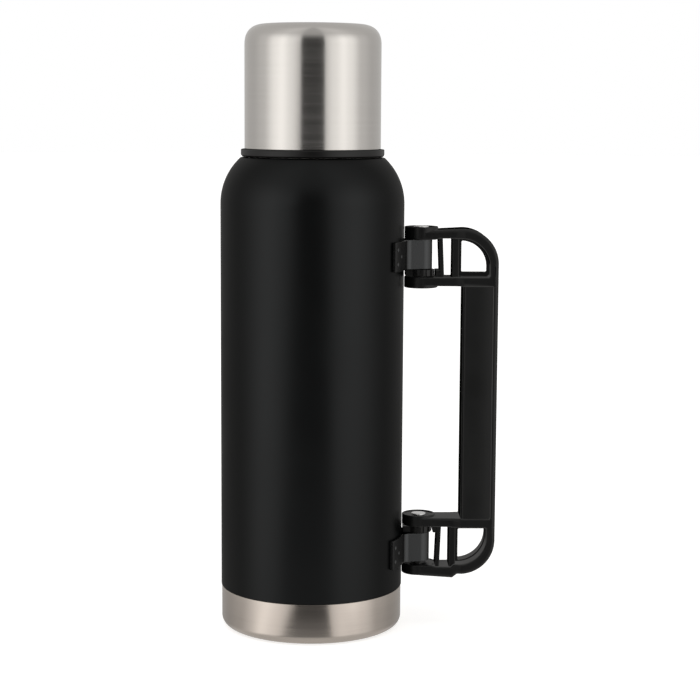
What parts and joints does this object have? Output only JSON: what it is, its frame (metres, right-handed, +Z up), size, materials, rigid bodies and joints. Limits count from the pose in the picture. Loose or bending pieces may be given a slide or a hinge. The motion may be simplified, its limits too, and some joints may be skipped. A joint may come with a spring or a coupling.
{
  "type": "insulated growler",
  "caption": "Double-walled insulated growler with a screw stopper, a steel cup lid and a wide carry handle that folds round against the bottle on vertical hinge pins.",
  "frame": {"origin": "centre of the flat underside the growler stands on", "axes": "+Z up along the bottle's axis, +X from that axis towards the handle, +Y to the handle's side"},
  "size_m": [0.1451, 0.096, 0.3165],
  "materials": {
    "brushed_steel": "satin",
    "powder_black": "satin",
    "strap_paint": "satin",
    "handle_plastic": "satin",
    "grip_rubber": "matte",
    "lid_plastic": "satin",
    "silicone": "matte",
    "foam": "matte",
    "pin_steel": "polished",
    "getter_metal": "matte",
    "seal_metal": "satin"
  },
  "bodies": {
    "bottle": {"outer_shell": "powder_black", "base_cup": "brushed_steel", "outer_bottom": "brushed_steel", "vacuum_seal": "seal_metal", "getter": "getter_metal", "inner_liner": "brushed_steel", "liner_floor": "brushed_steel", "upper_strap": "strap_paint", "lower_strap": "strap_paint", "upper_bush": "handle_plastic", "lower_bush": "handle_plastic"},
    "handle": {"handle_frame": "handle_plastic", "grip_pad": "grip_rubber", "upper_pin": "pin_steel", "lower_pin": "pin_steel", "upper_washer": "pin_steel", "lower_washer": "pin_steel"},
    "stopper_ring": {"stopper_seal": "silicone"},
    "stopper": {"stopper_body": "lid_plastic", "stopper_knob": "lid_plastic", "stopper_foam": "foam"},
    "cup_ring": {"cup_gasket": "silicone"},
    "cup": {"cup_shell": "brushed_steel", "cup_liner": "lid_plastic"}
  },
  "joints": [
    {"name": "handle_fold", "type": "hinge", "parent": "bottle", "child": "handle", "pos_m": [0.057, 0, 0.1198], "axis": [0, 0, 1], "range_deg": [-90, 90]},
    {"name": "stopper_rise", "type": "slide", "parent": "bottle", "child": "stopper_ring", "axis": [0, 0, 1], "range_m": [0, 0.036]},
    {"name": "stopper_turn", "type": "hinge", "parent": "stopper_ring", "child": "stopper", "pos_m": [0, 0, 0.262], "axis": [0, 0, 1], "range_deg": [0, 2160]},
    {"name": "cup_rise", "type": "slide", "parent": "stopper", "child": "cup_ring", "axis": [0, 0, 1], "range_m": [0, 0.048]},
    {"name": "cup_turn", "type": "hinge", "parent": "cup_ring", "child": "cup", "pos_m": [0, 0, 0.284], "axis": [0, 0, 1], "range_deg": [0, 2880]}
  ],
  "couplings": [
    {"joint": "stopper_rise", "follows": "stopper_turn", "m_per_rad": 0.00095493},
    {"joint": "cup_rise", "follows": "cup_turn", "m_per_rad": 0.00095493}
  ]
}
